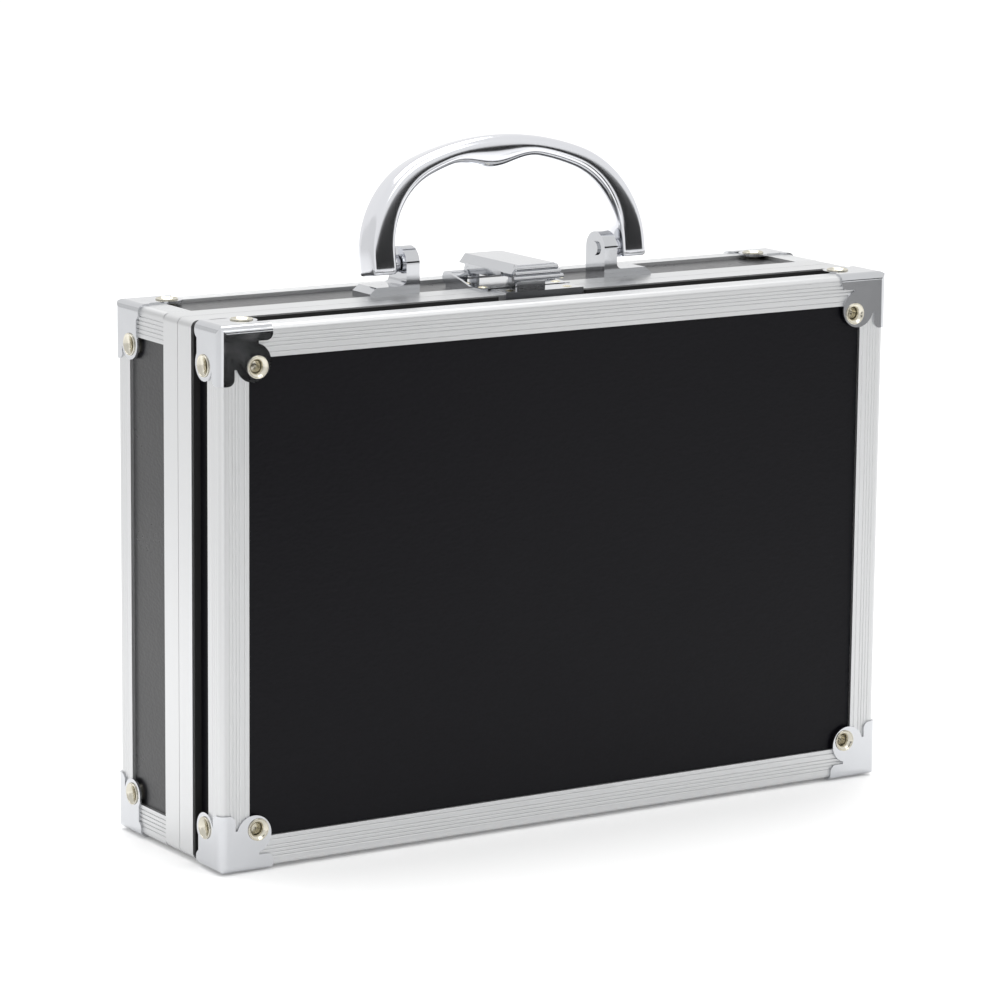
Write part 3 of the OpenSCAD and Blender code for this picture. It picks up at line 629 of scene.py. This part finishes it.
class CASE_OT_hollow_rivets(bpy.types.Operator):
    """Sets a smooth hollow rivet in each corner cap in place of the plain ones"""

    bl_idname = "case.hollow_rivets"
    bl_label = "Hollow rivets"

    def execute(self, context):
        material = bpy.data.materials["pale_brass"]
        rim_r, rim_height, rim_round = 0.00382, 0.00032, 0.00017
        mouth_r, mouth_height, narrowing, depth = 0.00365, 0.0002, 0.00185, 0.0030
        rim_steps, funnel_steps, turn_steps = 8, 12, 48
        rim = [(rim_r - rim_round * math.cos(a), rim_height + rim_round * math.sin(a))
               for a in (math.pi * k / rim_steps for k in range(rim_steps + 1))]
        funnel = [(mouth_r - narrowing * math.sin(math.pi / 2 * t) ** 0.9, mouth_height - depth * t ** 1.6)
                  for t in (k / funnel_steps for k in range(funnel_steps + 1))]
        well = [(0.00172, -0.0034), (0.00165, -0.0040), (0.0009, -0.0041), (0.0, -0.0041)]
        back = [(0.0, -0.0046), (0.0023, -0.0046), (0.0023, -0.0030), (0.00399, 0.0)]
        profile = list(reversed(rim)) + funnel[1:] + well + back
        shape = turned_shape("rivet_shape", profile, turn_steps)
        tree = repeat_tree("hollow_rivets", material)
        for face, body in (("front", "lid"), ("back", "base")):
            piece = repeated_piece(f"{body}_hollow_rivets", rivet_places(face), shape, tree, material,
                                   body)
            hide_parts(f"{body}_cap_eyelets")
        bpy.data.objects.remove(shape)
        return {"FINISHED"}


class CASE_OT_stage(bpy.types.Operator):
    """Sets the floor, the lights, the camera and the world"""

    bl_idname = "case.stage"
    bl_label = "Stage"

    def execute(self, context):
        sizes = context.scene.case_stage
        scene = context.scene
        scene.view_settings.view_transform = "Standard"
        scene.view_settings.look = "None"

        world = bpy.data.worlds.new("soft_white")
        scene.world = world
        world.use_nodes = True
        background = world.node_tree.nodes["Background"]
        background.inputs["Color"].default_value = (1.0, 1.0, 1.0, 1.0)
        background.inputs["Strength"].default_value = 1.03

        paint = Finish("pale_floor")
        paint.feed("Base Color", (0.92, 0.92, 0.92, 1.0))
        paint.feed("Roughness", 0.6)
        paint.feed("Emission Color", (1.0, 1.0, 1.0, 1.0))
        paint.feed("Emission Strength", 0.10)
        floor = self.sheet("floor", paint.material, Vector((0, 0, 0)), Vector((1, 0, 0)), Vector((0, 1, 0)),
                           sizes.floor_width, sizes.floor_width)

        self.dark_card("low_card", "X", -0.62, (-0.35, 0.32), (-0.02, 0.13), 0.04, 1.0)
        self.dark_card("right_card", "X", -0.62, (0.45, 0.80), (-0.02, 0.13), 0.04, 0.72)
        self.dark_card("leg_card", "X", -0.62, (-0.30, 0.80), (0.225, 0.37), 0.05, 1.0)
        self.dark_card("side_card", "Y", -0.30, (-0.20, 0.60), (0.01, 0.40), 0.08, 0.17)

        for name, place, aim, power, width in (
                ("key", (0.5, -1.7, 1.9), (0, 0, 0.1), 8.0, 1.2),
                ("top", (0.1, 0.5, 2.0), (0, 0, 0.1), 26.0, 1.6)):
            lamp = bpy.data.lights.new(name, "AREA")
            lamp.energy = power
            lamp.size = width
            holder = bpy.data.objects.new(name, lamp)
            scene.collection.objects.link(holder)
            holder.location = place
            holder.rotation_euler = (Vector(aim) - Vector(place)).to_track_quat("-Z", "Y").to_euler()

        self.camera(scene, sizes)
        return {"FINISHED"}

    def dark_card(self, name, along, distance, width, height, soft, weight):
        """A soft-edged upright card that only shows in reflections, in front or at the left side."""
        dark = Finish(name)
        _place, (x, y, z) = dark.axes()
        across = dark.band(x if along == "X" else y, width, soft)
        upward = dark.band(z, height, soft / 2)
        dark.feed("Base Color", (0.0, 0.0, 0.0, 1.0))
        dark.feed("Roughness", 1.0)
        dark.feed("Specular IOR Level", 0.0)
        dark.feed("Alpha", across * upward * weight)
        reach, rise = sum(width) / 2, sum(height) / 2
        centre = Vector((reach, distance, rise) if along == "X" else (distance, reach, rise))
        side = Vector((1, 0, 0) if along == "X" else (0, 1, 0))
        card = self.sheet(name, dark.material, centre, side, Vector((0, 0, 1)), width[1] - width[0],
                          height[1] - height[0])
        card.visible_camera = False
        card.visible_diffuse = False
        card.visible_shadow = False
        card.visible_transmission = False

    def sheet(self, name, material, centre, side, up, width, height):
        """A flat rectangle about a centre, spread along two directions."""
        mesh = bpy.data.meshes.new(name)
        corners = [centre + side * a * width / 2 + up * b * height / 2
                   for a, b in ((-1, -1), (1, -1), (1, 1), (-1, 1))]
        mesh.from_pydata([tuple(c) for c in corners], [], [(0, 1, 2, 3)])
        mesh.materials.append(material)
        made = bpy.data.objects.new(name, mesh)
        bpy.context.scene.collection.objects.link(made)
        return made

    def camera(self, scene, sizes):
        """The camera at its angle, distance and roll, aimed near the case's middle."""
        a, e, r = sizes.azimuth, sizes.elevation, sizes.roll
        forward = Vector((math.sin(a) * math.cos(e), math.cos(a) * math.cos(e), -math.sin(e)))
        side = Vector((math.cos(a), -math.sin(a), 0.0))
        up = side.cross(forward)
        turned_side = math.cos(r) * side + math.sin(r) * up
        turned_up = -math.sin(r) * side + math.cos(r) * up
        aim = AIM + turned_side * AIM_ACROSS + turned_up * AIM_UP
        place = aim - forward * sizes.distance
        lens = bpy.data.cameras.new("camera")
        lens.sensor_fit = "HORIZONTAL"
        lens.sensor_width = 36.0
        lens.lens = sizes.lens
        lens.clip_start = 0.01
        eye = bpy.data.objects.new("camera", lens)
        scene.collection.objects.link(eye)
        eye.matrix_world = Matrix((
            (turned_side.x, turned_up.x, -forward.x, place.x),
            (turned_side.y, turned_up.y, -forward.y, place.y),
            (turned_side.z, turned_up.z, -forward.z, place.z),
            (0, 0, 0, 1)))
        scene.camera = eye


class CASE_PT_panel(bpy.types.Panel):
    """Lists the case's sizes, colours and making steps"""

    bl_idname = "CASE_PT_panel"
    bl_label = "Aluminium Framed Case"
    bl_space_type = "VIEW_3D"
    bl_region_type = "UI"
    bl_category = "Case"

    def draw(self, context):
        layout = self.layout
        for group in (context.scene.case_handle, context.scene.case_colours, context.scene.case_stage):
            box = layout.box()
            for key in group.__annotations__:
                box.prop(group, key)
        for operator in STEPS:
            layout.operator(operator.bl_idname)


STEPS = (CASE_OT_finishes, CASE_OT_handle, CASE_OT_hollow_rivets, CASE_OT_stage)
GROUPS = {"case_handle": CaseHandleSizes, "case_colours": CaseFinishColours, "case_stage": CaseStageSizes}


def register():
    for group in GROUPS.values():
        bpy.utils.register_class(group)
    for name, group in GROUPS.items():
        setattr(bpy.types.Scene, name, bpy.props.PointerProperty(type=group))
    for operator in STEPS:
        bpy.utils.register_class(operator)
    bpy.utils.register_class(CASE_PT_panel)


def unregister():
    bpy.utils.unregister_class(CASE_PT_panel)
    for operator in reversed(STEPS):
        bpy.utils.unregister_class(operator)
    for name, group in GROUPS.items():
        delattr(bpy.types.Scene, name)
        bpy.utils.unregister_class(group)


def main():
    register()
    bpy.ops.case.finishes()
    bpy.ops.case.handle()
    bpy.ops.case.hollow_rivets()
    bpy.ops.case.stage()


if __name__ == "__main__":
    main()
